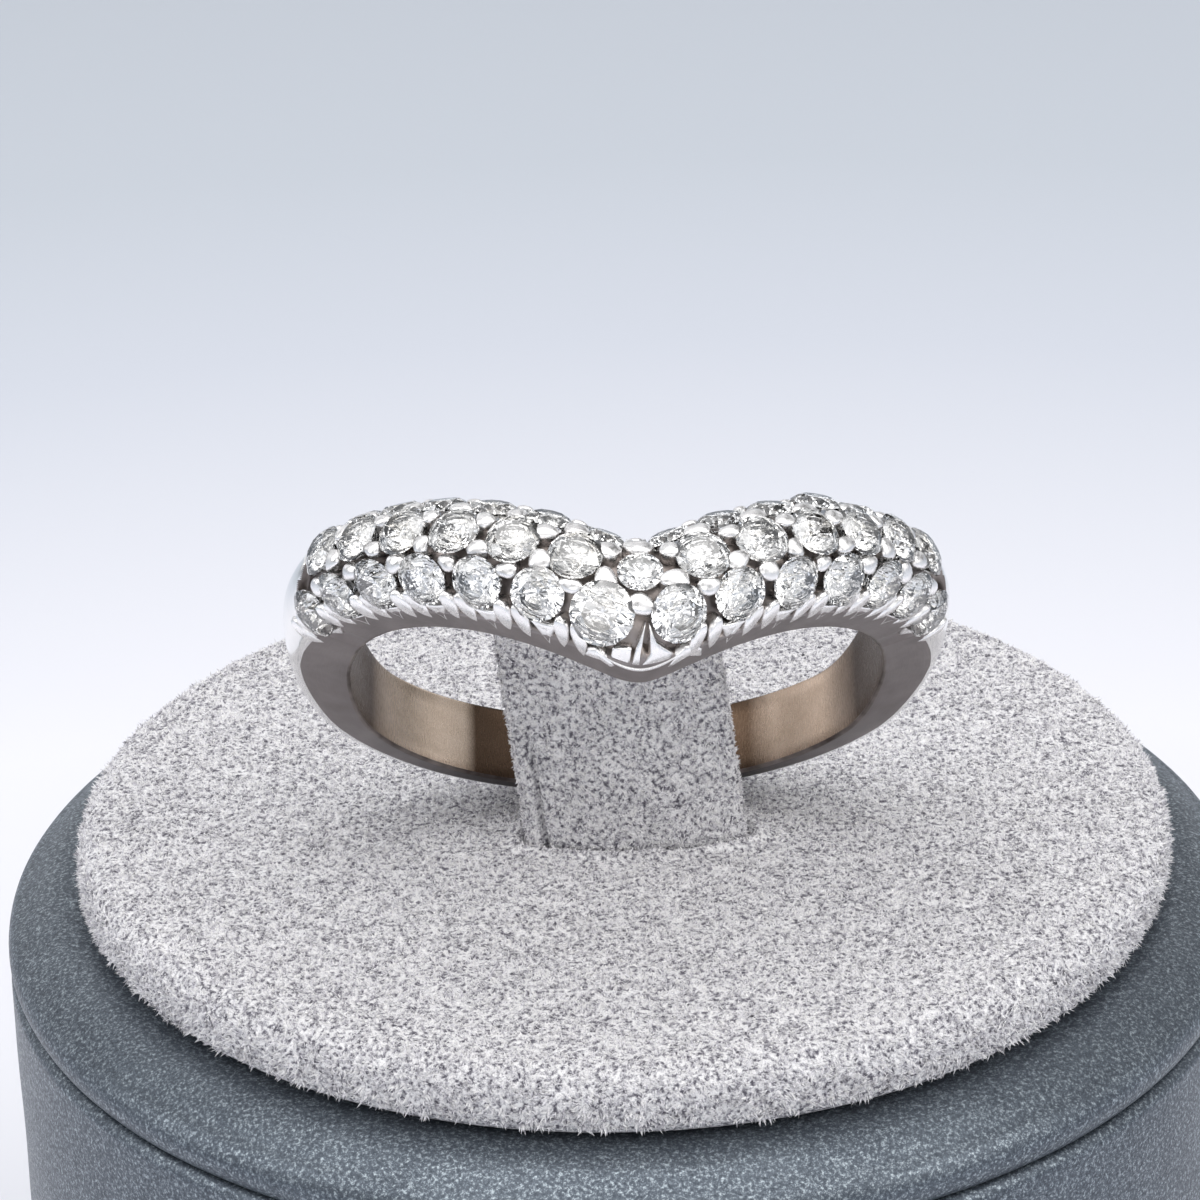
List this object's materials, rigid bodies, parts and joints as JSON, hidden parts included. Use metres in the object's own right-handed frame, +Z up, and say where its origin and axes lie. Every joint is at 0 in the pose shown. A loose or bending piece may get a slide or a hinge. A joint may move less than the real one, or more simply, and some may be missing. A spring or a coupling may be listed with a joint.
{
  "type": "chevron ring on display stand",
  "caption": "Pavé-set chevron ring, a domed band with a V at the front, hung on the suede tab of a plain round display stand.",
  "frame": {"origin": "middle of the drum's underside, where the stand meets the table", "axes": "+Z up, +Y away from the viewer, +X to the viewer's right"},
  "size_m": [0.042, 0.042, 0.0539],
  "materials": {
    "white_gold": "polished white gold on the crown, satin brushed on the side faces and in the finger hole",
    "diamond": "clear cut stone",
    "suede": "pale lilac-grey napped suede cloth",
    "leatherette": "dark blue-grey grained leatherette with a metallic sheen"
  },
  "bodies": {
    "root": {"ring_band": "white_gold", "stone_front_1": "diamond", "stone_front_2": "diamond", "stone_front_3": "diamond", "stone_front_4": "diamond", "stone_front_5": "diamond", "stone_front_6": "diamond", "stone_front_7": "diamond", "stone_front_8": "diamond", "stone_front_9": "diamond", "stone_front_10": "diamond", "stone_front_11": "diamond", "stone_front_12": "diamond", "stone_front_13": "diamond", "stone_front_14": "diamond", "stone_middle_1": "diamond", "stone_middle_2": "diamond", "stone_middle_3": "diamond", "stone_middle_4": "diamond", "stone_middle_5": "diamond", "stone_middle_6": "diamond", "stone_middle_7": "diamond", "stone_middle_8": "diamond", "stone_middle_9": "diamond", "stone_middle_10": "diamond", "stone_middle_11": "diamond", "stone_middle_12": "diamond", "stone_middle_13": "diamond", "stone_back_1": "diamond", "stone_back_2": "diamond", "stone_back_3": "diamond", "stone_back_4": "diamond", "stone_back_5": "diamond", "stone_back_6": "diamond", "stone_back_7": "diamond", "stone_back_8": "diamond", "stone_back_9": "diamond", "stone_back_10": "diamond", "stone_back_11": "diamond", "stone_back_12": "diamond", "stone_back_13": "diamond", "stone_back_14": "diamond", "suede_tab": "suede", "suede_pad": "suede", "stand_shoulder": "leatherette", "stand_drum": "leatherette"}
  },
  "joints": []
}
